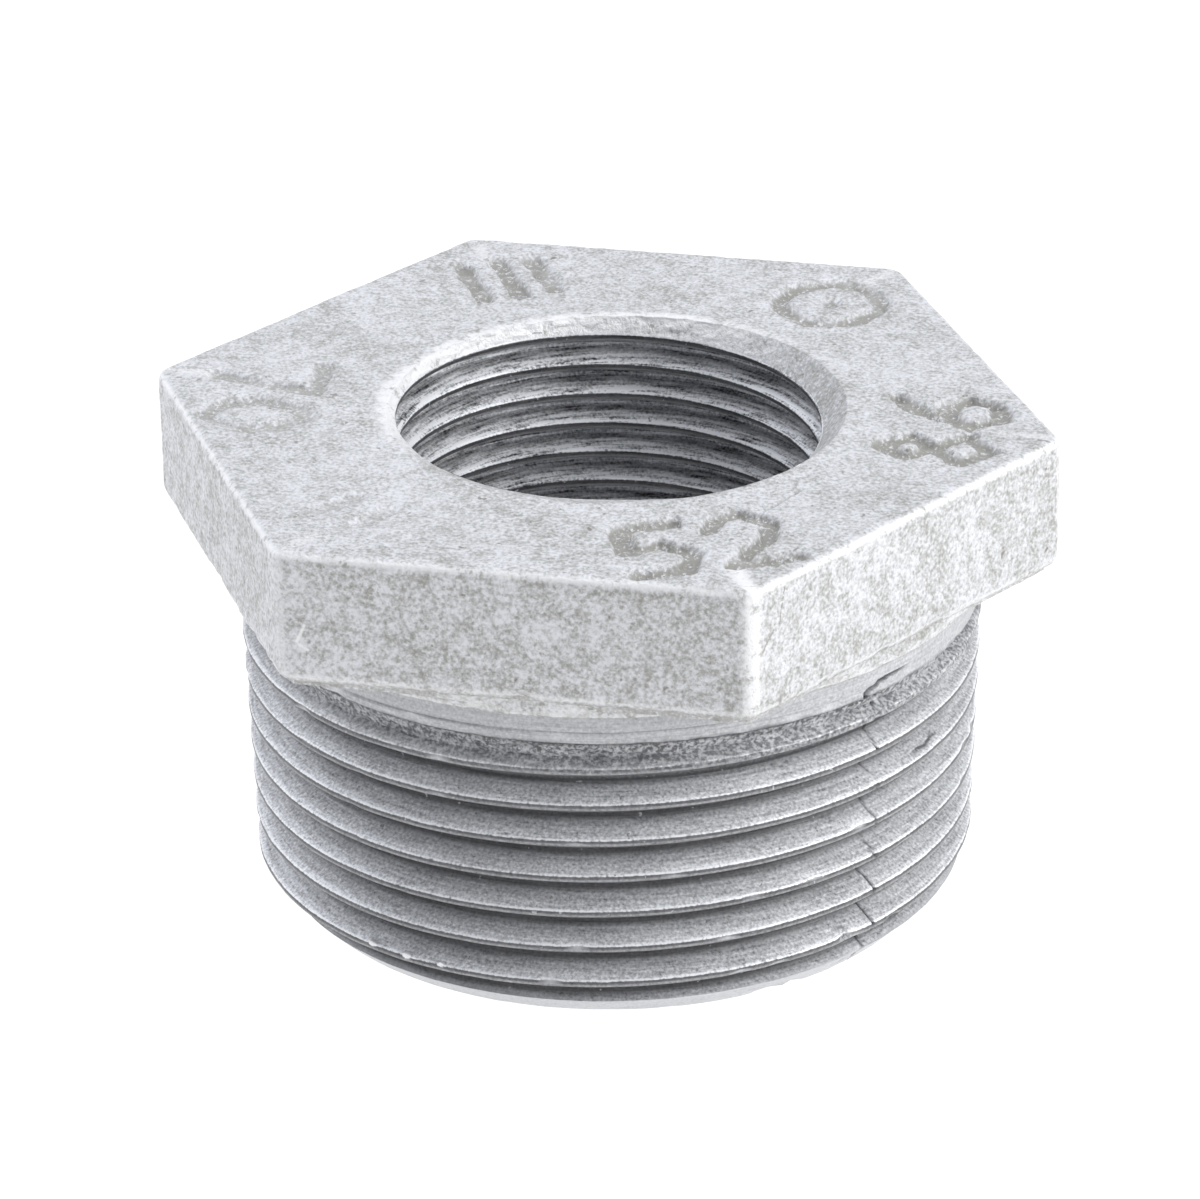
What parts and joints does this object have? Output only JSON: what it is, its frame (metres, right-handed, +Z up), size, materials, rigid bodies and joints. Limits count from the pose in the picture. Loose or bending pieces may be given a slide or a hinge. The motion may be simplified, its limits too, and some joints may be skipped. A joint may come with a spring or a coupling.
{
  "type": "hexagon pipe bushing",
  "caption": "Hexagon reducing bushing: a short barrel with a taper pipe thread outside and a hexagon head with a smaller pipe thread inside.",
  "frame": {"origin": "middle of the threaded end face that it stands on", "axes": "+Z up along the bore towards the hexagon head's top face; two corners of the hexagon on the X axis"},
  "size_m": [0.0516, 0.045, 0.0284],
  "materials": {
    "iron": "as cast on the head, turned on the threads, thinly zinc coated"
  },
  "bodies": {
    "root": {"bushing": "iron"}
  },
  "joints": []
}
